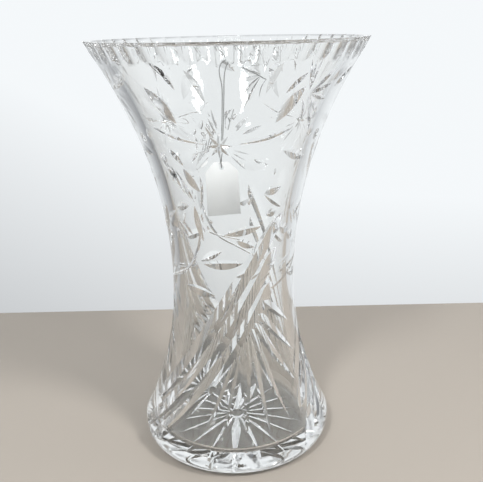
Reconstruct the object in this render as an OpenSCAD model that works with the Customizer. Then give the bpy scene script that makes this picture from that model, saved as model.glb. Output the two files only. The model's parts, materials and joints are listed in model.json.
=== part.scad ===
// Tall cut crystal vase, hourglass shape, with a blank strung tag hanging inside from a tape tab.
// Millimetres. +Z is up, the origin is the centre of the foot where it stands.
// Angles run round the vase from the front (-Y), positive towards +X.

/* [Vase] */
// Height from the foot to the rim
vase_h = 305; // [220:1:400]
// Diameter across the rim
rim_d = 195; // [150:1:240]
// Diameter at the waist
waist_d = 92; // [76:1:110]
// Diameter of the foot at its widest
foot_d = 147; // [120:1:175]
// Height of the waist
waist_z = 134; // [110:1:160]
// Rounding round the lower edge of the foot
foot_round = 12; // [6:0.5:16]
// Wall at the rim
rim_wall = 7; // [5:0.5:9]
// Wall at the waist
waist_wall = 8.5; // [6:0.5:11]
// Wall just above the floor
foot_wall = 12; // [9:0.5:15]
// Glass under the well
floor_t = 11; // [9:0.5:28]
// Rounding where the well meets its floor
well_round = 7; // [5:0.5:12]
// Bevel on both edges of the rim
rim_bevel = 1.2; // [0.6:0.1:1.6]

/* [Cutting] */
// Times the wall pattern repeats round the vase
repeats = 3; // [2:1:3]
// Depth of the long swirling grooves
swirl_deep = 3; // [1.5:0.1:3.6]
// Width of the long swirling grooves
swirl_w = 10.5; // [7:0.1:11.5]
// Radius of the wheel that cuts leaves and rays
wheel_r = 60; // [40:1:90]
// Thumbprints ground into the rim
rim_prints = 44; // [30:1:48]
// Depth of a thumbprint at the rim
print_deep = 1.1; // [0.6:0.1:2]
// Roundness of a thumbprint
print_r = 20; // [14:0.5:26]
// Height of a thumbprint
print_h = 13; // [8:0.5:18]
// Rays of the star under the foot, cut two at a time
base_rays = 18; // [8:2:24]
// Reach of the star from the centre
base_reach = 54; // [40:1:56]
// Depth of the star at its centre
base_deep = 3.2; // [2:0.1:5]

/* [Tag] */
// Width of the card
tag_w = 28; // [18:1:36]
// Length of the card
tag_l = 42; // [30:1:50]
// Thickness of the card
tag_t = 0.6; // [0.4:0.1:1]
// Corner clipped off at each side of the hole
tag_clip = 8; // [4:0.5:10]
// Hole for the string
tag_hole_d = 4; // [3:0.5:6]
// Diameter of the string
string_d = 1; // [0.8:0.1:1.4]
// Knot where the string is tied
knot_d = 3; // [2.6:0.1:4]
// Width of the clear tape tab over the rim
tape_w = 20; // [12:1:26]
// Thickness of the tape tab
tape_t = 0.4; // [0.3:0.1:0.8]
// Length of the tape inside the rim
tape_in = 16; // [12:1:24]
// Length of the tape outside the rim
tape_out = 9; // [6:1:14]

/* [Hidden] */
$fn = 96;
rim_r = rim_d / 2;
waist_r = waist_d / 2;
foot_r = foot_d / 2;
up_dz = vase_h - waist_z;
// The wall is two arcs that meet upright at the waist
up_arc = (pow(up_dz, 2) + pow(rim_r - waist_r, 2)) / (2 * (rim_r - waist_r));
low_dz = waist_z - 1.5 * foot_round;
low_arc = (pow(low_dz, 2) + pow(foot_r - waist_r, 2)) / (2 * (foot_r - waist_r));
in_waist_r = waist_r - waist_wall;
in_rim_r = rim_r - rim_wall;
in_up_arc = (pow(up_dz, 2) + pow(in_rim_r - in_waist_r, 2)) / (2 * (in_rim_r - in_waist_r));
well_r = foot_r - foot_wall;
in_low_arc = (pow(waist_z - floor_t, 2) + pow(well_r - in_waist_r, 2)) / (2 * (well_r - in_waist_r));

function arc_at(z) = z > waist_z ? up_arc : low_arc;
function rise(z) = (z - waist_z) / arc_at(z);
function wall_r(z) = min(z > waist_z ? rim_r : foot_r, waist_r + arc_at(z) * (1 - sqrt(1 - pow(rise(z), 2))));
function lean(z) = asin(rise(z));
function in_arc_at(z) = z > waist_z ? in_up_arc : in_low_arc;
function in_r(z) = in_waist_r + in_arc_at(z) * (1 - sqrt(1 - pow((z - waist_z) / in_arc_at(z), 2)));
function in_lean(z) = asin((z - waist_z) / in_arc_at(z));

// Where things lie on the inside of the wall at the back: angle from the back, height, distance off the glass
tag_turn = -11;
hole_z = 0.68 * vase_h;
hole_in = 4.5;
// Clear of the glass: string and knot, the card's long edges, the tape
air = 0.35;
card_air = 0.5;
tape_gap = 0.1;
card_mid_z = hole_z - tag_l / 2 + hole_in;
function edge_y(z) = sqrt(pow(in_r(z) - card_air, 2) - pow(tag_w / 2, 2));
card_lean = atan((edge_y(card_mid_z + 1) - edge_y(card_mid_z - 1)) / 2);
card_y = edge_y(card_mid_z);
function on_glass(a, z, off) = [
    (in_r(z) - off * cos(in_lean(z))) * sin(a),
    (in_r(z) - off * cos(in_lean(z))) * cos(a),
    z + off * sin(in_lean(z))
];
// A point on the card: s above its middle, d in front of its back face, turned to where it hangs
function turned(p, a) = [p[0] * cos(a) + p[1] * sin(a), p[1] * cos(a) - p[0] * sin(a), p[2]];
function on_card(x, s, d) = turned([
    x,
    card_y + s * sin(card_lean) - d * cos(card_lean),
    card_mid_z + s * cos(card_lean) + d * sin(card_lean)
], tag_turn);

knot_h = 0.937;
knot_at = on_glass(0.4, knot_h * vase_h, knot_d / 2 + air);
lie = string_d / 2 + air;
// The loop bows a little towards the glass between its points, so it is led further in
loop_lie = lie + 0.25;
hole_s = tag_l / 2 - hole_in;
up_s = tag_l / 2 + 3.5;
// The loop: down from the knot, through the hole from the front, and back up behind the card
// Runs are [angle, height as a share of vase_h]; on the card: across, up, in front
left_run = [
    [-2.4, 0.935], [-5.2, 0.926], [-6.6, 0.912], [-6.4, 0.895], [-5.6, 0.88],
    [-5.5, 0.855], [-6.2, 0.82], [-7.6, 0.775], [-9.4, 0.735]
];
card_run = [
    [-0.6, up_s, 1], [-0.5, hole_s + 3, tag_t + 1.5], [-0.3, hole_s + 0.8, tag_t + 1.2],
    [0, hole_s - 0.2, tag_t / 2],
    [0.3, hole_s + 0.8, -1.2], [0.5, hole_s + 3, -1.7], [0.8, up_s, -2.2]
];
right_run = [[-8, 0.735], [-6.4, 0.775], [-5, 0.82], [-4.3, 0.855], [-3.9, 0.88], [-3.2, 0.9], [-2, 0.918]];
loop_points = concat(
    [knot_at],
    [for (p = left_run) on_glass(p[0], p[1] * vase_h, loop_lie)],
    [for (p = card_run) on_card(p[0], p[1], p[2])],
    [for (p = right_run) on_glass(p[0], p[1] * vase_h, loop_lie)],
    [knot_at]
);
tail_run = [[3, 0.931], [5.8, 0.922], [11.6, 0.911], [17.6, 0.901], [22.7, 0.891]];
tail_points = concat([knot_at], [for (p = tail_run) on_glass(p[0], p[1] * vase_h, lie)]);

function along(p, i) = p[max(0, min(len(p) - 1, i))];
function between(p, i, t) =
    0.5 * (2 * along(p, i) + (along(p, i + 1) - along(p, i - 1)) * t
        + (2 * along(p, i - 1) - 5 * along(p, i) + 4 * along(p, i + 1) - along(p, i + 2)) * t * t
        + (3 * along(p, i) - along(p, i - 1) - 3 * along(p, i + 1) + along(p, i + 2)) * t * t * t);
function smooth(p, n) = [
    for (i = [0 : len(p) - 2]) for (k = [0 : n - 1]) between(p, i, k / n),
    p[len(p) - 1]
];
function unit(v) = v / norm(v);
function ring(c, dir, r, side) =
    let (a = unit(cross(dir, side)), b = unit(cross(a, dir)))
    [for (k = [0 : 7]) c + r * (cos(k * 45) * a + sin(k * 45) * b)];

// A round cord swept along its points
module cord(p, d, side) {
    n = len(p);
    rings = [for (i = [0 : n - 1]) ring(p[i], unit(along(p, i + 1) - along(p, i - 1)), d / 2, side)];
    polyhedron(
        points = [for (q = rings) each q],
        faces = concat(
            [[for (k = [0 : 7]) k]],
            [for (i = [0 : n - 2]) for (k = [0 : 7]) each [
                [i * 8 + k, (i + 1) * 8 + k, (i + 1) * 8 + (k + 1) % 8],
                [i * 8 + k, (i + 1) * 8 + (k + 1) % 8, i * 8 + (k + 1) % 8]
            ]],
            [[for (k = [7 : -1 : 0]) (n - 1) * 8 + k]]
        )
    );
}

// Solid outline of the blank before the well is taken out
module blank_outline() {
    intersection() {
        union() {
            difference() {
                square([foot_r + 5, waist_z]);
                translate([waist_r + low_arc, waist_z]) circle(r = low_arc, $fn = 720);
            }
            difference() {
                translate([0, waist_z - 0.001]) square([rim_r, up_dz + 0.001]);
                translate([waist_r + up_arc, waist_z]) circle(r = up_arc, $fn = 720);
            }
        }
        union() {
            square([foot_r - foot_round, vase_h]);
            translate([0, foot_round]) square([foot_r, waist_z - foot_round]);
            translate([foot_r - foot_round, foot_round]) circle(r = foot_round);
            translate([0, waist_z]) square([rim_r, up_dz]);
        }
    }
}

// Outline of the well that holds the water
module well_outline() {
    difference() {
        intersection() {
            translate([0, floor_t]) square([rim_r - 1, vase_h - floor_t + 1]);
            union() {
                translate([0, floor_t + well_round]) square([rim_r, vase_h]);
                square([well_r - well_round - 1, vase_h]);
                translate([well_r - well_round - 1, floor_t + well_round]) circle(r = well_round);
            }
        }
        intersection() {
            translate([in_waist_r + in_low_arc, waist_z]) circle(r = in_low_arc, $fn = 720);
            square([2 * rim_r, waist_z]);
        }
        intersection() {
            translate([in_waist_r + in_up_arc, waist_z]) circle(r = in_up_arc, $fn = 720);
            translate([0, waist_z - 0.001]) square([2 * rim_r, up_dz + 5]);
        }
    }
}

// Stands a cutter on the wall: x runs round the vase, y up the wall, z straight out of it
module on_wall(angle, z) {
    rotate([0, 0, angle]) translate([0, -wall_r(z), z]) rotate([90 + lean(z), 0, 0]) children();
}

function run_x(a0, a1, z) = wall_r(z) * (a1 - a0) * PI / 180;
function run_y(z0, z1) = (z1 - z0) / cos(lean((z0 + z1) / 2));
function run(a0, z0, a1, z1) = sqrt(pow(run_x(a0, a1, (z0 + z1) / 2), 2) + pow(run_y(z0, z1), 2));
function way(a0, z0, a1, z1) = atan2(run_y(z0, z1), run_x(a0, a1, (z0 + z1) / 2));
// How fast the wall falls away along a direction
function bend(way, z) = pow(cos(way), 2) * cos(lean(z)) / wall_r(z) - pow(sin(way), 2) / arc_at(z);
// How deep a wheel of radius r goes to leave a cut this long
function cut_deep(long, way, z, r) = pow(long, 2) / 8 * (1 / r + bend(way, z));
// How far every cutter stands out of the glass
stand = 0.8;

// Puts the rim of a wheel on a cut of this length and depth
module wheel_at(r, deep, long) {
    sweep = 2 * asin((long / 2 + 1) / r);
    translate([0, 0, r - deep]) rotate([0, 90, 90]) rotate([0, 0, -sweep / 2])
        rotate_extrude(angle = sweep) children();
}

// One pass of a pointed wheel: a lens with a sharp groove, from one point to another
module mitre(a0, h0, a1, h1, w, r = wheel_r) {
    z0 = h0 * vase_h;
    z1 = h1 * vase_h;
    z = (z0 + z1) / 2;
    long = run(a0, z0, a1, z1);
    turn = way(a0, z0, a1, z1);
    deep = cut_deep(long, turn, z, r);
    side = w / 2 * (deep + stand) / deep;
    on_wall((a0 + a1) / 2, z) rotate([0, 0, turn]) wheel_at(r, deep, long)
        polygon([[r - deep - stand, -side], [r, 0], [r - deep - stand, side]]);
}

// One pass of a rounded wheel: a smooth hollow
module olive(a0, h0, a1, h1, w, r = wheel_r) {
    z0 = h0 * vase_h;
    z1 = h1 * vase_h;
    z = (z0 + z1) / 2;
    long = run(a0, z0, a1, z1);
    turn = way(a0, z0, a1, z1);
    deep = cut_deep(long, turn, z, r);
    round_r = pow(w, 2) / 8 / deep;
    on_wall((a0 + a1) / 2, z) rotate([0, 0, turn]) wheel_at(r, deep, long) intersection() {
        translate([r - round_r, 0]) circle(r = round_r);
        translate([r - deep - stand, -w]) square([deep + 2, 2 * w]);
    }
}

// A long groove that winds up the wall, ground in short straight passes
module groove(a0, h0, a1, h1, w, deep, passes) {
    groove_stand = 1.5;
    overlap = 0.4;
    top = deep + groove_stand;
    half = w / 2 * top / deep;
    for (i = [0 : passes - 1]) {
        f0 = i / passes;
        f1 = (i + 1) / passes;
        b0 = a0 + (a1 - a0) * f0;
        b1 = a0 + (a1 - a0) * f1;
        z0 = (h0 + (h1 - h0) * f0) * vase_h;
        z1 = (h0 + (h1 - h0) * f1) * vase_h;
        long = run(b0, z0, b1, z1);
        on_wall((b0 + b1) / 2, (z0 + z1) / 2) rotate([0, 0, way(b0, z0, b1, z1)])
            translate([-long / 2 - overlap, 0, 0]) rotate([90, 0, 90]) linear_extrude(long + 2 * overlap)
                polygon([[0, -deep], [half, groove_stand], [-half, groove_stand]]);
    }
}

// Cuts are placed by angle and by height as a share of vase_h, one end then the other, then the width
module flower() {
    a = -5;
    h = 0.795;
    reach_a = 6.5;
    reach_h = 0.028;
    // Eight short rays of the eye
    for (k = [0 : 3]) {
        dx = reach_a * cos(k * 45);
        dy = reach_h * sin(k * 45);
        mitre(a - dx, h - dy, a + dx, h + dy, 2.4, 40);
    }
    // Edges of the petals
    mitre(-37.5, 0.915, -26, 0.838, 8);
    mitre(34.5, 0.913, 22, 0.838, 8);
    mitre(-45, 0.832, -17, 0.8, 3, 90);
    mitre(36, 0.826, 10, 0.8, 3, 90);
    mitre(-29, 0.962, -22, 0.912, 3.2);
    mitre(-16, 0.948, -9.5, 0.89, 3.2);
    mitre(21.5, 0.958, 16.5, 0.905, 3.2);
}

// A second flower seen from its side, on a neck beside the first
module side_flower() {
    a = 39;
    h = 0.893;
    for (k = [0 : 3]) mitre(a + 1.5, h + 0.006, a + 14 - 2 * abs(k - 1), h + 0.055 - 0.035 * k, 3.4, 45);
    mitre(38, 0.905, 34, 0.96, 2, 80);
    mitre(58, 0.905, 69, 0.938, 6);
}

// Leaves and buds round the waist
module leaves() {
    mitre(-25, 0.513, 9, 0.517, 7, 70);
    mitre(-6, 0.588, 24, 0.604, 6, 70);
    mitre(-46, 0.45, -16, 0.437, 7, 70);
    mitre(33, 0.776, 54, 0.75, 7);
    mitre(24, 0.684, 37, 0.692, 6);
    mitre(42, 0.592, 55, 0.578, 8);
    mitre(-36, 0.732, -26, 0.664, 3, 90);
    mitre(-30, 0.74, -21, 0.69, 7, 90);
    mitre(-60, 0.605, -44, 0.635, 3);
}

module stem() {
    groove(-22, 0.612, -33, 0.53, 1.8, 0.6, 2);
    groove(-33, 0.53, -62, 0.475, 1.8, 0.6, 2);
}

// Three broad grooves side by side that wind up from the foot
module swirl() {
    groove(-72, 0.128, 43, 0.628, swirl_w, swirl_deep, 7);
    groove(-76, 0.045, 40, 0.545, swirl_w, swirl_deep, 7);
    groove(-60, 0.045, 36, 0.462, swirl_w, swirl_deep, 6);
}

// Rays that spread down to the foot from under the swirl
module fan() {
    mitre(22, 0.43, 54, 0.352, 6, 90);
    mitre(18, 0.4, 56, 0.27, 6, 110);
    mitre(16, 0.378, 50, 0.2, 5.5, 130);
    mitre(14, 0.37, 38, 0.13, 5, 150);
    mitre(13, 0.365, 24, 0.1, 5, 150);
    mitre(12, 0.36, 6, 0.1, 5, 150);
    mitre(10, 0.35, -10, 0.1, 5, 150);
    mitre(8, 0.33, -24, 0.1, 5, 150);
}

module dots() {
    olive(-47, 0.79, -42, 0.786, 7, 20);
    olive(10.5, 0.672, 14.5, 0.66, 4, 20);
}

// Round hollows side by side, ground into the outside of the rim
module rim_cuts() {
    r0 = wall_r(vase_h - print_h);
    r1 = rim_r - print_deep;
    tilt = atan2(r1 - r0, print_h);
    chord = sqrt(pow(r1 - r0, 2) + pow(print_h, 2));
    out = sqrt(pow(print_r, 2) - pow(chord / 2, 2));
    for (k = [0 : rim_prints - 1])
        rotate([0, 0, (k + 0.5) * 360 / rim_prints])
            translate([0, -(r0 + r1) / 2 - out * cos(tilt), vase_h - print_h / 2 - out * sin(tilt)])
                sphere(r = print_r);
}

// Each ray is deepest by the middle and runs out to nothing
module base_star() {
    dip = atan2(base_deep, base_reach);
    ray_drop = base_deep + 3;
    ray_half = 0.8 * ray_drop;
    first = 8;
    middle = 5;
    for (k = [0 : base_rays - 1])
        rotate([0, 0, k * 360 / base_rays + first]) translate([base_reach, 0, 0]) rotate([0, dip, 0])
            translate([middle - base_reach, 0, 0]) rotate([90, 0, 90]) linear_extrude(base_reach)
                polygon([[0, 0], [-ray_half, -ray_drop], [ray_half, -ray_drop]]);
}

// What the two rim bevels take off, run out past the rim so that they cut cleanly
module outer_bevel() {
    polygon([[rim_r - rim_bevel, vase_h], [rim_r + 1, vase_h + 1], [rim_r + 1, vase_h - rim_bevel - 1]]);
}

module inner_bevel() {
    left = in_rim_r - 2;
    polygon([[in_rim_r + rim_bevel, vase_h + 1], [left, vase_h + 1], [left, vase_h - rim_bevel - 2]]);
}

// One piece of crystal: the blank is cut first and hollowed last
module vase() {
    color([0.88, 0.92, 0.93, 0.45]) difference() {
        difference() {
            rotate_extrude($fn = 180) difference() {
                blank_outline();
                outer_bevel();
            }
            for (k = [0 : repeats - 1]) rotate([0, 0, k * 360 / repeats]) {
                flower();
                side_flower();
                leaves();
                stem();
                swirl();
                fan();
                dots();
            }
            rim_cuts();
            base_star();
        }
        rotate_extrude($fn = 180) union() {
            well_outline();
            inner_bevel();
        }
    }
}

// Clear tape folded over the rim at the back, stuck down on top
module rim_tape() {
    half = asin(tape_w / 2 / rim_r);
    lap = tape_gap + 1.2 * tape_t;
    color([0.9, 0.92, 0.9, 0.4]) rotate([0, 0, 90 - half]) rotate_extrude(angle = 2 * half) {
        // Inside the rim
        intersection() {
            translate([in_waist_r + in_up_arc, waist_z]) difference() {
                circle(r = in_up_arc + tape_t + tape_gap, $fn = 720);
                circle(r = in_up_arc + tape_gap, $fn = 720);
            }
            translate([waist_r, vase_h - tape_in]) square([rim_r - waist_r, tape_in + tape_t]);
        }
        // Outside the rim
        intersection() {
            translate([waist_r + up_arc, waist_z]) difference() {
                circle(r = up_arc - tape_gap, $fn = 720);
                circle(r = up_arc - tape_gap - tape_t, $fn = 720);
            }
            translate([waist_r, vase_h - tape_out]) square([rim_r, tape_out + tape_t]);
        }
        // Over the top
        translate([in_rim_r - lap, vase_h]) square([rim_wall + 2 * lap, tape_t]);
    }
}

module tag_string() {
    color([0.32, 0.34, 0.34]) cord(smooth(loop_points, 3), string_d, [1, 0, 0.25]);
}

module string_knot() {
    color([0.32, 0.34, 0.34]) translate(knot_at) sphere(r = knot_d / 2);
}

module string_tail() {
    color([0.32, 0.34, 0.34]) cord(smooth(tail_points, 3), string_d, [0, 0, 1]);
}

// Plain card with two corners clipped off beside the hole
module card_outline() {
    half_w = tag_w / 2;
    half_l = tag_l / 2;
    polygon([
        [-half_w, -half_l], [half_w, -half_l], [half_w, half_l - tag_clip],
        [half_w - tag_clip, half_l], [tag_clip - half_w, half_l], [-half_w, half_l - tag_clip]
    ]);
}

module price_tag() {
    color([0.93, 0.93, 0.9])
        rotate([0, 0, -tag_turn]) translate([0, card_y, card_mid_z]) rotate([90 - card_lean, 0, 0])
        linear_extrude(tag_t) difference() {
            card_outline();
            translate([0, hole_s]) circle(r = tag_hole_d / 2, $fn = 48);
        }
}

vase();
rim_tape();
tag_string();
string_knot();
string_tail();
price_tag();
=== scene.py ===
import bpy, bmesh, json, math, random
from mathutils import Matrix, Vector

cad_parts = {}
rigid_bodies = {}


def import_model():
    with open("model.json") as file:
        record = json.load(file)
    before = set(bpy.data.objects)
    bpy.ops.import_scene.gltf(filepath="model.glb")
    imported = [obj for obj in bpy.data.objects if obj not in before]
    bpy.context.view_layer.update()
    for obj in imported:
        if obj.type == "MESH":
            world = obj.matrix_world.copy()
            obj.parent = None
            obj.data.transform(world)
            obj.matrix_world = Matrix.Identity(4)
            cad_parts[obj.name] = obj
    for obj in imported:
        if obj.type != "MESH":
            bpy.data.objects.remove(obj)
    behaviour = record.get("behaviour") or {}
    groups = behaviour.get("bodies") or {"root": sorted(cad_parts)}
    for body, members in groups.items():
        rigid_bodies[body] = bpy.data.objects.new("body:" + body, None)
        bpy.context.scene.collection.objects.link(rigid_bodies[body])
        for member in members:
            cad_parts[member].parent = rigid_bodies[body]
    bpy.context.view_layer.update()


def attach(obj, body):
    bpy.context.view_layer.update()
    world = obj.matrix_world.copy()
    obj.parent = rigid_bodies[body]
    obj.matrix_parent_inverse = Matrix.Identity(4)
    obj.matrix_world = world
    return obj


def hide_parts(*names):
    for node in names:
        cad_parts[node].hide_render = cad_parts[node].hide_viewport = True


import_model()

MM = 0.001

# ---------------------------------------------------------------- sizes, in millimetres
HEIGHT = 305.0
RIM_R = 97.5
WAIST_R = 46.0
FOOT_R = 73.5
WAIST_Z = 134.0
FOOT_ROUND = 12.0
FLOOR = 11.0
WELL_ROUND = 7.0
RIM_BEVEL = 1.2
IN_WAIST_R = 37.5
IN_RIM_R = 90.5
WELL_R = 61.5
REPEATS = 3
RIM_PRINTS = 44
BASE_RAYS = 18
BASE_RAY_IN = 5.0
BASE_RAY_LONG = 50.0
BASE_RAY_DEEP = 3.2
SPARE = 0.7
PROFILE_STEP = 3.0


def arc_through(dz, dr):
    """Radius of the arc that leaves the waist upright and has moved out by dr after dz."""
    return (dz * dz + dr * dr) / (2 * dr)


UP_ARC = arc_through(HEIGHT - WAIST_Z, RIM_R - WAIST_R)
LOW_ARC = arc_through(WAIST_Z - 1.5 * FOOT_ROUND, FOOT_R - WAIST_R)
IN_UP_ARC = arc_through(HEIGHT - WAIST_Z, IN_RIM_R - IN_WAIST_R)
IN_LOW_ARC = arc_through(WAIST_Z - FLOOR, WELL_R - IN_WAIST_R)


def arc_r(z, waist, arc):
    """Distance from the axis at height z, on an arc that is upright at the waist."""
    return waist + arc * (1 - math.sqrt(1 - ((z - WAIST_Z) / arc) ** 2))


def wall_r(z):
    """Outside of the wall: flared above the waist, belled below it, rounded at the foot."""
    if z > WAIST_Z:
        return arc_r(z, WAIST_R, UP_ARC)
    if z < FOOT_ROUND:
        rest = FOOT_ROUND - z
        return FOOT_R - FOOT_ROUND + math.sqrt(max(0.0, FOOT_ROUND ** 2 - rest ** 2))
    return min(FOOT_R, arc_r(z, WAIST_R, LOW_ARC))


def well_r(z):
    """Inside of the wall."""
    return arc_r(z, IN_WAIST_R, IN_UP_ARC if z > WAIST_Z else IN_LOW_ARC)


def wall_slope(z):
    return (wall_r(z + 0.2) - wall_r(z - 0.2)) / 0.4


def wall_point(angle, z, out=0.0):
    """A point on the outside of the wall; angle in degrees from the front, out along the normal."""
    turn = math.radians(angle)
    lean = math.atan(wall_slope(z))
    r = wall_r(z) + out * math.cos(lean)
    return Vector((r * math.sin(turn), -r * math.cos(turn), z - out * math.sin(lean)))


def wall_normal(angle, z):
    turn = math.radians(angle)
    lean = math.atan(wall_slope(z))
    return Vector((math.cos(lean) * math.sin(turn), -math.cos(lean) * math.cos(turn), -math.sin(lean)))


def well_point(angle, z, off=0.0):
    """A point on the inside of the wall at the back; angle in degrees from the back, off the glass."""
    turn = math.radians(angle)
    lean = math.atan((well_r(z + 0.2) - well_r(z - 0.2)) / 0.4)
    r = well_r(z) - off * math.cos(lean)
    return Vector((r * math.sin(turn), r * math.cos(turn), z + off * math.sin(lean)))


# ---------------------------------------------------------------- mesh helpers
def new_object(name, mesh_maker, scale=MM):
    """An object whose mesh is made by mesh_maker, in millimetres unless scale says otherwise."""
    mesh = bpy.data.meshes.new(name)
    bm = bmesh.new()
    mesh_maker(bm)
    bmesh.ops.recalc_face_normals(bm, faces=bm.faces)
    bmesh.ops.scale(bm, vec=(scale, scale, scale), verts=bm.verts)
    bm.to_mesh(mesh)
    bm.free()
    obj = bpy.data.objects.new(name, mesh)
    bpy.context.scene.collection.objects.link(obj)
    return obj


def catmull(points, t):
    """Smooth curve through the points; t runs from 0 to 1 and may pass the ends."""
    span = len(points) - 1
    i = min(max(int(math.floor(t * span)), 0), span - 1)
    u = t * span - i
    if span == 1:
        return points[0] + (points[1] - points[0]) * u
    a = points[i - 1] if i > 0 else points[i] * 2 - points[i + 1]
    d = points[i + 2] if i + 2 <= span else points[i + 1] * 2 - points[i]
    b, c = points[i], points[i + 1]
    square = (a * 2 - b * 5 + c * 4 - d) * u * u
    cube = (b * 3 - a - c * 3 + d) * u ** 3
    return 0.5 * (b * 2 + (c - a) * u + square + cube)


def sweep(bm, sections):
    """A closed body pulled through a list of sections, each the same number of points in order."""
    corners = [bm.verts.new(p) for p in sections[0]]
    face = bm.faces.new(corners)
    for section in sections[1:]:
        grown = bmesh.ops.extrude_face_region(bm, geom=[face, *face.edges, *face.verts])["geom"]
        face = next(part for part in grown if isinstance(part, bmesh.types.BMFace))
        for corner, place in zip(face.verts, section):
            corner.co = place


# ---------------------------------------------------------------- grinding wheels
def lens_depth(t):
    """Depth along a leaf-shaped pass: deepest in the middle, nothing at the ends."""
    return 1 - (2 * t - 1) ** 2


def groove_depth(t):
    """Depth along a long groove: even, with short run-outs."""
    edge = min(t, 1 - t) / 0.06
    return 1.0 if edge > 1 else 1 - (1 - edge) ** 2


def ray_depth(t):
    """Depth along a ray of the fan: deepest near its root, fading to its tip."""
    return min(1.0, 1 - ((t - 0.22) / 0.78) ** 2) if t > 0.22 else 1 - ((0.22 - t) / 0.22) ** 2


def vee(depth, left, right):
    """Section of a pointed wheel: left and right are how far it opens for each unit of depth."""
    top = depth + SPARE
    return [(-left * top, SPARE), (0.0, -depth), (right * top, SPARE)]


def cutter(name, points, width, deep, depth_rule=lens_depth, tilt=0.0, steps=22, rounded=False):
    """One pass of a wheel along points on the wall, each (angle, height as a fraction)."""
    way = [Vector((a, h * HEIGHT)) for a, h in points]
    open_half = width / 2 / deep
    left = open_half * (1 + tilt)
    right = open_half * (1 - tilt)
    sections = []
    for k in range(-1, steps + 2):
        t = k / steps
        here = catmull(way, t)
        ahead = catmull(way, t + 0.01)
        behind = catmull(way, t - 0.01)
        out = wall_normal(here.x, here.y)
        forward = (wall_point(ahead.x, ahead.y) - wall_point(behind.x, behind.y)).normalized()
        side = forward.cross(out).normalized()
        depth = deep * depth_rule(t)
        base = wall_point(here.x, here.y)
        if rounded:
            half = width / 2 * math.sqrt(max(0.0, depth + SPARE) / deep)
            ring = []
            for j in range(9):
                x = -1 + j / 4
                ring.append(base + side * (x * half) + out * (-depth + (depth + SPARE) * x * x))
        else:
            ring = [base + side * x + out * y for x, y in vee(depth, left, right)]
        if depth + SPARE > 0.06:
            sections.append(ring)

    def make(bm):
        sweep(bm, sections)

    return new_object(name, make)


FLOWER_A = -5.0
FLOWER_H = 0.795


def flower_cuts():
    """The main flower: its eye, leaves, crescents, petals, veins and feathering."""
    cuts = []
    # the eye: eight crisp rays
    for k in range(4):
        dx = 7.0 * math.cos(k * math.pi / 4)
        dy = 0.03 * math.sin(k * math.pi / 4)
        ends = [(FLOWER_A - dx, FLOWER_H - dy), (FLOWER_A + dx, FLOWER_H + dy)]
        cuts.append(dict(points=ends, width=3.0, deep=1.6))
    # the big leaves above it, one on each side
    cuts.append(dict(points=[(-37.5, 0.915), (-31, 0.882), (-26, 0.838)], width=9.5, deep=2.4, tilt=-0.25))
    cuts.append(dict(points=[(35.5, 0.911), (29, 0.88), (24, 0.84)], width=9.5, deep=2.4, tilt=0.25))
    # crescents that end each side petal
    cuts.append(dict(points=[(-45, 0.832), (-30, 0.81), (-12, 0.798)], width=3.0, deep=1.1, tilt=0.5))
    cuts.append(dict(points=[(36, 0.826), (22, 0.807), (5, 0.798)], width=3.0, deep=1.1, tilt=-0.5))
    # small leaves under the rim
    cuts.append(dict(points=[(-30, 0.965), (-25, 0.945), (-22, 0.912)], width=4.2, deep=1.5, tilt=-0.3))
    cuts.append(dict(points=[(-16, 0.95), (-12, 0.925), (-9.5, 0.885)], width=4.2, deep=1.5, tilt=-0.3))
    cuts.append(dict(points=[(21.5, 0.96), (18.5, 0.935), (16.5, 0.902)], width=4.2, deep=1.5, tilt=0.3))
    cuts.append(dict(points=[(34, 0.938), (30, 0.922), (26, 0.9)], width=3.6, deep=1.3, tilt=0.3))
    # feathering that runs into the eye from above
    for a0, h0, a1, h1 in ((-9.8, 0.858, -6.2, 0.822), (-7.4, 0.874, -5.4, 0.83), (-12, 0.84, -7.6, 0.812)):
        cuts.append(dict(points=[(a0, h0), (a1, h1)], width=1.8, deep=0.9))
    # broad shallow petals round the eye
    for turn, far in ((155, 30), (25, 30), (205, 28), (335, 28), (120, 26), (60, 26)):
        ca = math.cos(math.radians(turn))
        sa = math.sin(math.radians(turn))
        near = (FLOWER_A + 1 + 9 * ca, FLOWER_H + 0.036 * sa)
        tip = (FLOWER_A + 1 + far * ca, FLOWER_H + 0.0042 * far * sa)
        cuts.append(dict(points=[near, tip], width=14.0, deep=0.45, rounded=True))
    # fine veins in the two lower petals
    for turn in (196, 208, 220, 344, 332, 320):
        ca = math.cos(math.radians(turn))
        sa = math.sin(math.radians(turn))
        near = (FLOWER_A + 8 * ca, FLOWER_H + 0.033 * sa)
        tip = (FLOWER_A + 20 * ca, FLOWER_H + 0.085 * sa)
        cuts.append(dict(points=[near, tip], width=1.3, deep=0.5))
    cuts.append(dict(points=[(-37, 0.785), (-29, 0.748)], width=6.5, deep=1.8, tilt=0.4))
    return cuts


def side_flower_cuts():
    """The half flower beside it: five petals, three stamens, a stem and a bud."""
    cuts = []
    a = 39.0
    h = 0.893
    for k in range(5):
        root = (a + 1.5, h + 0.004 - 0.002 * k)
        tip = (a + 15 - 2 * abs(k - 1.5), h + 0.05 - 0.032 * k)
        cuts.append(dict(points=[root, tip], width=3.6, deep=1.3))
    for top in (33.5, 36.0, 39.0):
        cuts.append(dict(points=[(a - 0.5, h + 0.008), (top, 0.965)], width=1.8, deep=0.8))
    cuts.append(dict(points=[(36, 0.885), (38.5, 0.865), (39.5, 0.838)], width=2.0, deep=0.8))
    cuts.append(dict(points=[(57, 0.903), (70, 0.94)], width=6.5, deep=2.0))
    return cuts


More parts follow.
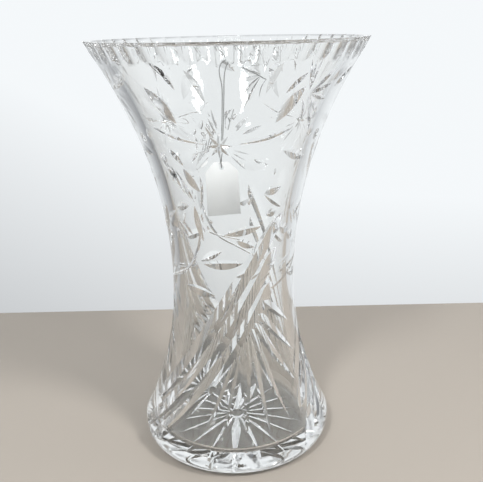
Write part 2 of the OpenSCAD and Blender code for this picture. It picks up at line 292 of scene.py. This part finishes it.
def leaf_cuts():
    """Leaves and leaflets; each row is the two ends, the width and the depth."""
    rows = (
        ((-25, 0.513), (9, 0.517), 7.5, 2.4), ((-6, 0.588), (24, 0.604), 6.5, 2.2),
        ((3, 0.575), (19, 0.555), 6.0, 2.0), ((-46, 0.45), (-16, 0.437), 7.5, 2.4),
        ((33, 0.776), (54, 0.75), 7.0, 2.2), ((24, 0.682), (37, 0.692), 7.0, 2.0),
        ((42, 0.592), (54, 0.578), 8.0, 2.2), ((53, 0.572), (62, 0.556), 8.0, 2.2),
        ((-30, 0.742), (-20.5, 0.69), 8.0, 2.2), ((-27, 0.655), (-23, 0.57), 7.0, 2.0),
        ((-36.5, 0.735), (-26, 0.662), 2.4, 1.0), ((-40, 0.745), (-29.5, 0.672), 2.4, 1.0),
        ((-43.5, 0.755), (-33, 0.682), 2.4, 1.0), ((-46.5, 0.762), (-37, 0.7), 2.4, 1.0),
        ((-62, 0.605), (-46, 0.637), 3.0, 1.2), ((-52, 0.608), (-43, 0.572), 2.4, 1.0),
        ((-46, 0.612), (-37, 0.576), 2.4, 1.0), ((-41, 0.616), (-32, 0.58), 2.4, 1.0),
    )
    return [dict(points=[p, q], width=w, deep=d) for p, q, w, d in rows]


def stem_cuts():
    """The flower's stem and the tendril beside it."""
    stem = [(-21.5, 0.64), (-24, 0.6), (-30, 0.545), (-42, 0.497), (-66, 0.462), (-92, 0.435)]
    tendril = [(-31, 0.51), (-45, 0.495), (-75, 0.478)]
    return [
        dict(points=stem, width=2.0, deep=0.8, depth_rule=groove_depth, steps=60),
        dict(points=tendril, width=1.8, deep=0.7, depth_rule=groove_depth, steps=40),
    ]


def swirl_cuts():
    """Three long grooves that climb to the right."""
    runs = (((-72, 0.128), (43, 0.628)), ((-76, 0.045), (40, 0.545)), ((-60, 0.045), (36, 0.462)))
    wheel = dict(width=11.2, deep=3.3, depth_rule=groove_depth, steps=90)
    return [dict(points=[p, q], **wheel) for p, q in runs]


def fan_cuts():
    """Rays that spread down from beside the swirl; each row is root, tip and width."""
    rows = (
        ((22, 0.43), (56, 0.345), 7.0), ((18, 0.4), (58, 0.265), 7.0), ((16, 0.378), (52, 0.195), 6.5),
        ((14, 0.37), (38, 0.12), 6.0), ((13, 0.365), (23, 0.085), 6.0), ((12, 0.36), (6, 0.085), 6.0),
        ((10, 0.35), (-10, 0.085), 6.0), ((8, 0.33), (-24, 0.085), 5.5),
    )
    wheel = dict(deep=2.0, depth_rule=ray_depth, steps=40)
    return [dict(points=[p, q], width=w, **wheel) for p, q, w in rows]


def dot_cuts():
    """Round-bottomed dots; each row is left, right, height and width."""
    spots = (
        (-62.5, -55.5, 0.799, 8), (-46.5, -41, 0.761, 8), (12, 14.5, 0.666, 4.5),
        (-16, -14, 0.62, 3), (-19, -17, 0.605, 3),
    )
    return [dict(points=[(a, h), (b, h)], width=w, deep=0.34 * w, rounded=True) for a, b, h, w in spots]


def all_wall_cuts():
    """Every cut of one repeat of the pattern, in the order they are ground."""
    flowers = flower_cuts() + side_flower_cuts()
    greenery = leaf_cuts() + stem_cuts()
    return flowers + greenery + swirl_cuts() + fan_cuts() + dot_cuts()


# ---------------------------------------------------------------- the blank
def profile():
    """Half section of the blank, from under the foot, up the wall, over the rim and down the well."""
    pts = []
    for k in range(13):
        pts.append(((FOOT_R - FOOT_ROUND) * k / 12, 0.0))
    for k in range(1, 13):
        turn = math.radians(90 * k / 12)
        pts.append((FOOT_R - FOOT_ROUND + FOOT_ROUND * math.sin(turn), FOOT_ROUND * (1 - math.cos(turn))))
    z = FOOT_ROUND + PROFILE_STEP
    while z < HEIGHT - RIM_BEVEL - 1.5:
        pts.append((wall_r(z), z))
        z += PROFILE_STEP
    b = RIM_BEVEL
    pts += [
        (wall_r(HEIGHT - b), HEIGHT - b),
        (RIM_R - 0.3 * b - 0.25, HEIGHT - 0.3 * b),
        (RIM_R - b - 0.2, HEIGHT),
        (IN_RIM_R + b, HEIGHT),
        (IN_RIM_R + 0.3 * b, HEIGHT - 0.3 * b),
        (well_r(HEIGHT - b), HEIGHT - b),
    ]
    z = HEIGHT - b - PROFILE_STEP
    while z > FLOOR + WELL_ROUND + 1.0:
        pts.append((well_r(z), z))
        z -= PROFILE_STEP
    z0 = FLOOR + WELL_ROUND
    edge = well_r(z0)
    for k in range(11):
        turn = math.radians(90 * k / 10)
        pts.append((edge - WELL_ROUND * (1 - math.cos(turn)), z0 - WELL_ROUND * math.sin(turn)))
    for k in range(9, -1, -1):
        pts.append(((edge - WELL_ROUND) * k / 10, FLOOR))
    return pts


def make_blank(bm, segments=240):
    verts = [bm.verts.new((r, 0.0, z)) for r, z in profile()]
    edges = [bm.edges.new((verts[i], verts[i + 1])) for i in range(len(verts) - 1)]
    bmesh.ops.spin(bm, geom=verts + edges, axis=(0, 0, 1), cent=(0, 0, 0), angle=2 * math.pi,
                   steps=segments, use_merge=True, use_duplicate=False)
    bmesh.ops.remove_doubles(bm, verts=bm.verts, dist=0.0005)


def print_depth(t):
    """Depth up a thumbprint: it runs out at the bottom and is deepest at the rim."""
    return 1 - (1 - t) ** 2


def cut_vase():
    """Grinds every cut into the blank in one pass."""
    glass = new_object("crystal_vase", make_blank)
    tools = bpy.data.collections.new("wheels")
    bpy.context.scene.collection.children.link(tools)

    def keep(obj):
        bpy.context.scene.collection.objects.unlink(obj)
        tools.objects.link(obj)

    for cut in all_wall_cuts():
        first = cutter("cut", **cut)
        keep(first)
        for turn in range(1, REPEATS):
            other = bpy.data.objects.new("cut", first.data.copy())
            other.data.transform(Matrix.Rotation(2 * math.pi * turn / REPEATS, 4, "Z"))
            tools.objects.link(other)
    for k in range(RIM_PRINTS):
        turn = (k + 0.5) * 360 / RIM_PRINTS
        keep(cutter("print", [(turn, 0.958), (turn, 1.01)], width=19.0, deep=2.1, rounded=True,
                    steps=14, depth_rule=print_depth))
    for k in range(BASE_RAYS):
        keep(base_ray(k))
    mod = glass.modifiers.new("ground", "BOOLEAN")
    mod.operation = "DIFFERENCE"
    mod.operand_type = "COLLECTION"
    mod.collection = tools
    mod.solver = "MANIFOLD"
    view = bpy.context.evaluated_depsgraph_get()
    done = bpy.data.meshes.new_from_object(glass.evaluated_get(view))
    glass.modifiers.clear()
    glass.data = done
    for obj in list(tools.objects):
        bpy.data.objects.remove(obj)
    bpy.data.collections.remove(tools)
    return glass


def base_ray(k):
    """One ray of the star ground under the foot."""
    turn = math.radians(k * 360 / BASE_RAYS + 8)
    forward = Vector((math.cos(turn), math.sin(turn), 0))
    side = Vector((-math.sin(turn), math.cos(turn), 0))
    sections = []
    for j in range(13):
        t = j / 12
        depth = BASE_RAY_DEEP * (1 - t * t) - 0.02
        base = forward * (BASE_RAY_IN + BASE_RAY_LONG * t)
        ring = [base + side * x + Vector((0, 0, -y)) for x, y in vee(depth, 1.3, 1.3)]
        sections.append(ring)

    def make(bm):
        sweep(bm, sections)

    return new_object("ray", make)


# ---------------------------------------------------------------- shader maths
class Signal:
    """One output of a node, with ordinary arithmetic."""

    def __init__(self, maker, node, output=0):
        self.maker = maker
        self.node = node
        self.output = output

    @property
    def socket(self):
        return self.node.outputs[self.output]

    def _op(self, operation, first, second):
        return self.maker.add("ShaderNodeMath", {"operation": operation}, {0: first, 1: second})

    def __add__(self, other):
        return self._op("ADD", self, other)

    def __mul__(self, other):
        return self._op("MULTIPLY", self, other)

    __radd__ = __add__
    __rmul__ = __mul__


class Nodes:
    """The node tree of a material or of the room's light; add makes every node in it."""

    def __init__(self, owner):
        owner.use_nodes = True
        self.tree = owner.node_tree
        self.tree.nodes.clear()

    def add(self, kind, settings, sockets, output=0):
        node = self.tree.nodes.new(kind)
        for key, value in settings.items():
            if key == "stops":
                self._stops(node.color_ramp, value)
            else:
                setattr(node, key, value)
        for key, value in sockets.items():
            if isinstance(value, Signal):
                self.tree.links.new(value.socket, node.inputs[key])
            else:
                node.inputs[key].default_value = value
        return Signal(self, node, output)

    def _stops(self, ramp, stops):
        while len(ramp.elements) < len(stops):
            ramp.elements.new(0.5)
        for element, (place, colour) in zip(ramp.elements, stops):
            element.position = place
            element.color = colour


class Finish(Nodes):
    """Builds one material: constants go on the shader's own sockets, varying maps are fed in."""

    def __init__(self, name, **constants):
        self.material = bpy.data.materials.new(name)
        super().__init__(self.material)
        values = {key.replace("_", " "): value for key, value in constants.items()}
        surface = self.add("ShaderNodeBsdfPrincipled", {}, values)
        self.shader = surface.node
        self.add("ShaderNodeOutputMaterial", {}, {"Surface": surface})
        self.place = self.add("ShaderNodeTexCoord", {}, {}, "Object")

    def noise(self, scale, detail=2.0, rough=0.5, stretch=(1, 1, 1)):
        where = self.add("ShaderNodeMapping", {}, {"Vector": self.place, "Scale": stretch})
        values = {"Vector": where, "Scale": scale, "Detail": detail, "Roughness": rough}
        return self.add("ShaderNodeTexNoise", {}, values)

    def between(self, factor, low, high):
        stops = [(0.0, (*low, 1.0)), (1.0, (*high, 1.0))]
        return self.add("ShaderNodeValToRGB", {"stops": stops}, {"Fac": factor})

    def bump(self, height, strength, distance):
        values = {"Height": height, "Strength": strength, "Distance": distance}
        return self.add("ShaderNodeBump", {}, values)

    def feed(self, **signals):
        for key, signal in signals.items():
            self.tree.links.new(signal.socket, self.shader.inputs[key.replace("_", " ")])
        return self.material


def crystal():
    """Clear lead crystal: fire-polished walls with the faintest ripple."""
    f = Finish("clear_crystal", Transmission_Weight=1.0, IOR=1.545)
    ripple = f.noise(38.0, 1.0, stretch=(1, 1, 0.6))
    tint = f.between(f.noise(12.0), (0.965, 0.975, 0.972), (0.99, 0.995, 0.993))
    return f.feed(Base_Color=tint, Roughness=f.noise(60.0) * 0.012, Normal=f.bump(ripple, 0.06, 0.002))


def plain_floor():
    """Pale warm grey, almost even."""
    f = Finish("studio_floor", Roughness=0.6)
    tone = f.between(f.noise(1.5, 4.0), (0.33, 0.29, 0.25), (0.36, 0.32, 0.275))
    return f.feed(Base_Color=tone)


# ---------------------------------------------------------------- tape, string and tag
TAG_W = 28.0
TAG_L = 42.0
TAG_T = 0.6
TAG_CLIP = 8.0
HOLE_R = 2.0
HOLE_S = TAG_L / 2 - 4.5
STRING_D = 1.0
KNOT_D = 3.0
AIR = 0.35
CARD_AIR = 0.5
LIE = STRING_D / 2 + AIR
LOOP_LIE = LIE + 0.25
TAG_TURN = math.radians(-11)
CARD_Z = 0.68 * HEIGHT - HOLE_S


def edge_y(z):
    """How far back the card's long edges can lie at height z before they meet the glass."""
    return math.sqrt((well_r(z) - CARD_AIR) ** 2 - (TAG_W / 2) ** 2)


CARD_LEAN = math.atan((edge_y(CARD_Z + 1) - edge_y(CARD_Z - 1)) / 2)
CARD_Y = edge_y(CARD_Z)
CARD_PLACE = (Matrix.Rotation(-TAG_TURN, 4, "Z") @ Matrix.Translation((0, CARD_Y, CARD_Z))
              @ Matrix.Rotation(-CARD_LEAN, 4, "X") @ Matrix.Rotation(math.pi / 2, 4, "X"))


def on_card(x, s, d):
    """A point on the card: x across, s up from its middle, d in front of its back face."""
    return CARD_PLACE @ Vector((x, s, d))


KNOT_AT = well_point(0.4, 0.937 * HEIGHT, KNOT_D / 2 + AIR)
LEFT_RUN = (
    (-2.4, 0.935), (-5.2, 0.926), (-6.6, 0.912), (-6.4, 0.895), (-5.6, 0.88),
    (-5.5, 0.855), (-6.2, 0.82), (-7.6, 0.775), (-9.4, 0.735),
)
RIGHT_RUN = (
    (-8, 0.735), (-6.4, 0.775), (-5, 0.82), (-4.3, 0.855), (-3.9, 0.88), (-3.2, 0.9), (-2, 0.918),
)
TAIL_RUN = ((3, 0.931), (5.8, 0.922), (11.6, 0.911), (17.6, 0.901), (22.7, 0.891))


def lying(run, off):
    """Points along the inside of the wall, each (angle, height as a fraction), off the glass."""
    return [well_point(a, h * HEIGHT, off) for a, h in run]


def loop_points():
    """Down from the knot, through the card's hole from the front, and back up behind it."""
    up = TAG_L / 2 + 3.5
    through = [
        on_card(-0.6, up, 1),
        on_card(-0.5, HOLE_S + 3, TAG_T + 1.5),
        on_card(-0.3, HOLE_S + 0.8, TAG_T + 1.2),
        on_card(0, HOLE_S - 0.2, TAG_T / 2),
        on_card(0.3, HOLE_S + 0.8, -1.2),
        on_card(0.5, HOLE_S + 3, -1.7),
        on_card(0.8, up, -2.2),
    ]
    return [KNOT_AT] + lying(LEFT_RUN, LOOP_LIE) + through + lying(RIGHT_RUN, LOOP_LIE) + [KNOT_AT]


def smooth_line(points, each):
    count = (len(points) - 1) * each
    return [catmull(points, k / count) for k in range(count + 1)]


def strand(bm, line, radius, side, turns_per_mm=0.55):
    """Two twisted plies along a line: a figure-eight section that turns as it goes."""
    sections = []
    twist = 0.0
    for k, point in enumerate(line):
        ahead = line[min(k + 1, len(line) - 1)]
        behind = line[max(k - 1, 0)]
        forward = (ahead - behind).normalized()
        across = forward.cross(side).normalized()
        up = across.cross(forward).normalized()
        twist += (point - behind).length * turns_per_mm * math.pi
        ring = []
        for j in range(12):
            turn = 2 * math.pi * j / 12
            ply = radius * (0.74 + 0.26 * abs(math.cos(turn)))
            sideways = across * (ply * math.cos(turn + twist))
            ring.append(point + sideways + up * (ply * math.sin(turn + twist)))
        sections.append(ring)
    sweep(bm, sections)


def length_of(line):
    return sum((b - a).length for a, b in zip(line, line[1:]))


def cotton():
    """Thin grey cotton, its fibres flecked lighter and darker at random."""
    f = Finish("grey_cotton", Sheen_Weight=0.4, Sheen_Roughness=0.5)
    fibre = f.noise(2600.0, 3.0, 0.6)
    tone = f.between(fibre, (0.09, 0.1, 0.1), (0.22, 0.23, 0.23))
    worn = f.noise(900.0) * 0.15 + 0.75
    return f.feed(Base_Color=tone, Roughness=worn, Normal=f.bump(fibre, 0.6, 0.0001))


def card_stock():
    """White card with a faint tooth, greyer where it has been handled."""
    f = Finish("white_card")
    tooth = f.noise(1800.0, 4.0, 0.65)
    handled = f.noise(90.0, 3.0, 0.6)
    tone = f.between(handled * 0.7 + tooth * 0.3, (0.66, 0.67, 0.67), (0.8, 0.81, 0.8))
    return f.feed(Base_Color=tone, Roughness=tooth * 0.1 + 0.62, Normal=f.bump(tooth, 0.35, 0.0001))


def clear_film():
    """Clear adhesive film with small trapped bubbles."""
    f = Finish("clear_film", IOR=1.47, Coat_Weight=0.6, Coat_Roughness=0.08)
    bubbles = f.noise(420.0, 2.0, 0.5)
    tone = f.between(bubbles, (0.8, 0.82, 0.82), (0.95, 0.96, 0.96))
    return f.feed(Base_Color=tone, Roughness=bubbles * 0.3 + 0.1, Alpha=bubbles * 0.2 + 0.06,
                  Normal=f.bump(bubbles, 0.4, 0.0003))


def make_string():
    """The loop, its tie and its two frayed ends, all on the string's body."""
    cloth = cotton()
    line = smooth_line(loop_points(), 14)
    loop_side = Vector((1, 0, 0.25)).normalized()
    loop = new_object("string_loop", lambda bm: strand(bm, line, STRING_D / 2, loop_side))
    tail_line = smooth_line([KNOT_AT] + lying(TAIL_RUN, LIE), 16)
    tail = new_object("string_ends", lambda bm: strand(bm, tail_line, STRING_D / 2, Vector((0, 0, 1))))
    knot = new_object("string_tie", tie_knot)
    fray = new_object("string_fray", lambda bm: fray_end(bm, tail_line))
    for piece in (loop, tail, knot, fray):
        for polygon in piece.data.polygons:
            polygon.use_smooth = True
        piece.data.materials.append(cloth)
        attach(piece, "string")
    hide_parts("tag_string")
    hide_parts("string_tail")
    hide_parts("string_knot")
    length_of(line) * MM
    [p * MM for p in line]
    length_of(tail_line) * MM
    [p * MM for p in tail_line]


def tie_knot(bm):
    """Wraps of the tie round the strands, and the small bow left beside it."""
    wraps = []
    for k in range(61):
        t = k / 60
        turn = 2 * math.pi * 2.5 * t
        swell = 0.75 + 0.3 * math.sin(math.pi * t)
        x = swell * math.cos(turn)
        y = 0.75 * swell * math.sin(turn)
        wraps.append(KNOT_AT + Vector((x, y, 1.4 * (t - 0.5))))
    strand(bm, wraps, 0.5, Vector((0.2, 0.1, 1)).normalized())
    bow = [
        KNOT_AT,
        well_point(2.7, 0.9445 * HEIGHT, 2.7),
        well_point(6.9, 0.94 * HEIGHT, 2.6),
        well_point(5.6, 0.932 * HEIGHT, 2.0),
        KNOT_AT,
    ]
    strand(bm, smooth_line(bow, 12), 0.42, Vector((0, 0.2, 1)).normalized())


def fray_end(bm, line):
    """Loose fibres where the ends were cut."""
    dice = random.Random(7)
    end = line[-1]
    forward = (line[-1] - line[-4]).normalized()
    for k in range(14):
        spread = Vector((dice.uniform(-1, 1), dice.uniform(-0.6, 0.2), dice.uniform(-1, 1)))
        reach = dice.uniform(2.0, 4.5)
        start = end - forward * dice.uniform(0.4, 1.5)
        middle = start + forward * reach * 0.5 + spread * 0.25
        fibre = [start, middle, start + forward * reach + spread * 0.8]
        strand(bm, smooth_line(fibre, 4), 0.11, Vector((0.1, 0.2, 1)).normalized())


def make_tag():
    """The blank card: clipped corners, a punched hole and a slight curl."""
    def card(bm):
        bmesh.ops.create_grid(bm, x_segments=28, y_segments=42, size=0.5)
        bmesh.ops.scale(bm, vec=(TAG_W, TAG_L, 1), verts=bm.verts)
        for side in (-1, 1):
            corner = Vector((side * (TAG_W / 2 - TAG_CLIP / 2), TAG_L / 2 - TAG_CLIP / 2, 0))
            bmesh.ops.bisect_plane(bm, geom=[*bm.verts, *bm.edges, *bm.faces], plane_co=corner,
                                   plane_no=(side, 1, 0), clear_outer=True)
        bmesh.ops.solidify(bm, geom=list(bm.faces), thickness=-TAG_T * 0.8)

    def punch(bm):
        bmesh.ops.create_cone(bm, cap_ends=True, segments=48, radius1=HOLE_R, radius2=HOLE_R, depth=6)
        bmesh.ops.translate(bm, vec=(0, HOLE_S, 0), verts=bm.verts)

    tag = new_object("blank_tag", card)
    hole = new_object("punch", punch)
    cut_away(tag, hole)
    for vertex in tag.data.vertices:
        x = vertex.co.x / MM
        y = vertex.co.y / MM
        curl = 0.35 * (1 - (2 * x / TAG_W) ** 2) * (0.4 + 0.6 * (0.5 - y / TAG_L)) + 0.1
        vertex.co = CARD_PLACE @ Vector((x, y, vertex.co.z / MM + curl)) * MM
    tag.data.set_sharp_from_angle(angle=math.radians(35))
    tag.data.materials.clear()
    tag.data.materials.append(card_stock())
    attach(tag, "tag")
    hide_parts("price_tag")


def cut_away(obj, tool):
    """Takes the tool's shape out of the object and throws the tool away."""
    mod = obj.modifiers.new("cut", "BOOLEAN")
    mod.operation = "DIFFERENCE"
    mod.object = tool
    mod.solver = "MANIFOLD"
    view = bpy.context.evaluated_depsgraph_get()
    obj.data = bpy.data.meshes.new_from_object(obj.evaluated_get(view))
    obj.modifiers.clear()
    bpy.data.objects.remove(tool)


def make_tape():
    """Clear tab folded over the rim at the back."""
    gap = 0.12
    thick = 0.12
    half_wide = 10.0
    inner = [(well_r(z) - gap, z) for z in (289, 291, 293, 295, 297, 299, 301, 303)]
    outer = [(wall_r(z) + gap, z) for z in (303, 301, 299, 297, 296)]
    over = [
        (well_r(304.2) - gap, 304.2),
        (IN_RIM_R + 1.2, HEIGHT + gap),
        (RIM_R - 1.4, HEIGHT + gap),
        (wall_r(304.2) + gap, 304.2),
    ]

    def film(bm):
        corners = [bm.verts.new((r, 0, z)) for r, z in inner + over + outer]
        edges = [bm.edges.new(pair) for pair in zip(corners, corners[1:])]
        half = math.asin(half_wide / RIM_R)
        bmesh.ops.rotate(bm, matrix=Matrix.Rotation(math.pi / 2 - half, 3, "Z"), verts=bm.verts)
        bmesh.ops.spin(bm, geom=corners + edges, axis=(0, 0, 1), cent=(0, 0, 0), angle=2 * half,
                       steps=16, use_duplicate=False)
        bmesh.ops.solidify(bm, geom=list(bm.faces), thickness=thick)

    tape = new_object("tape_tab", film)
    for polygon in tape.data.polygons:
        polygon.use_smooth = True
    tape.data.set_sharp_from_angle(angle=math.radians(50))
    tape.data.materials.append(clear_film())
    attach(tape, "vase")
    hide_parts("rim_tape")


# ---------------------------------------------------------------- studio
FLOOR_HALF = (1.6, 1.3)
FLOOR_BACK = 0.226
FLOOR_DROP = 0.0003
SKY_WAY = (0.2, 0.75, 0.6)
SKY_STOPS = [(0.0, (0.2, 0.205, 0.215, 1.0)), (0.6, (0.93, 0.96, 0.98, 1.0))]
SKY_STRENGTH = 0.98
LAMPS_AIM = (0, 0, 0.2)
LIGHT_BOUNCES = 32


def studio():
    """A plain floor that ends just behind the vase, as the surface it stands on does."""
    def floor_grid(bm):
        half_x, half_y = FLOOR_HALF
        bmesh.ops.create_grid(bm, x_segments=4, y_segments=4, size=1.0)
        bmesh.ops.scale(bm, vec=(half_x, half_y, 1), verts=bm.verts)
        bmesh.ops.translate(bm, vec=(0, FLOOR_BACK - half_y, -FLOOR_DROP), verts=bm.verts)

    floor = new_object("floor", floor_grid, 1.0)
    floor.data.materials.append(plain_floor())


def lamp(name, place, size, power, colour=(1, 1, 1)):
    data = bpy.data.lights.new(name, "AREA")
    data.shape = "RECTANGLE"
    data.size, data.size_y = size
    data.energy = power
    data.color = colour
    obj = bpy.data.objects.new(name, data)
    obj.location = place
    obj.rotation_euler = (Vector(LAMPS_AIM) - Vector(place)).to_track_quat("-Z", "Y").to_euler()
    bpy.context.scene.collection.objects.link(obj)


def lights():
    """A soft room, dark in front and bright behind, with two lamps above."""
    scene = bpy.context.scene
    world = bpy.data.worlds.new("soft_room")
    room = Nodes(world)
    where = room.add("ShaderNodeTexCoord", {}, {}, "Generated")
    reach = room.add("ShaderNodeVectorMath", {"operation": "DOT_PRODUCT"}, {0: where, 1: SKY_WAY}, "Value")
    tone = room.add("ShaderNodeValToRGB", {"stops": SKY_STOPS}, {"Fac": reach})
    glow = room.add("ShaderNodeBackground", {}, {"Color": tone, "Strength": SKY_STRENGTH})
    room.add("ShaderNodeOutputWorld", {}, {"Surface": glow})
    scene.world = world
    scene.view_settings.view_transform = "Standard"
    lamp("window", (-0.29, -0.7, 1.0), (0.14, 0.3), 9.0, (0.95, 0.98, 1.0))
    lamp("ceiling", (0.68, -0.59, 1.1), (0.22, 0.26), 12.0)
    scene.cycles.max_bounces = LIGHT_BOUNCES
    scene.cycles.transmission_bounces = LIGHT_BOUNCES
    scene.cycles.glossy_bounces = LIGHT_BOUNCES


CAMERA_AT = (0.0067, -0.4607, 0.3145)
CAMERA_PITCH = 18.71
CAMERA_ROLL = 1.23
CAMERA_LENS = 48.02


def camera():
    """Stands in front, a little above the rim, looking down."""
    pitch = math.radians(CAMERA_PITCH)
    roll = math.radians(CAMERA_ROLL)
    look = Vector((0, math.cos(pitch), -math.sin(pitch)))
    up = Vector((0, math.sin(pitch), math.cos(pitch)))
    right = Vector((1, 0, 0))
    tilted_right = right * math.cos(roll) - up * math.sin(roll)
    tilted_up = right * math.sin(roll) + up * math.cos(roll)
    data = bpy.data.cameras.new("camera")
    data.sensor_width = 36.0
    data.lens = CAMERA_LENS
    data.clip_start = 0.01
    obj = bpy.data.objects.new("camera", data)
    turn = Matrix((tilted_right, tilted_up, -look)).transposed().to_4x4()
    obj.matrix_world = Matrix.Translation(CAMERA_AT) @ turn
    bpy.context.scene.collection.objects.link(obj)
    bpy.context.scene.camera = obj


def make_vase():
    """The cut vase, smooth except along the edges of its cuts."""
    glass = cut_vase()
    for polygon in glass.data.polygons:
        polygon.use_smooth = True
    glass.data.set_sharp_from_angle(angle=math.radians(20))
    glass.data.materials.clear()
    glass.data.materials.append(crystal())
    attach(glass, "vase")
    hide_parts("vase")


camera()
lights()
studio()
make_string()
make_tag()
make_tape()
make_vase()
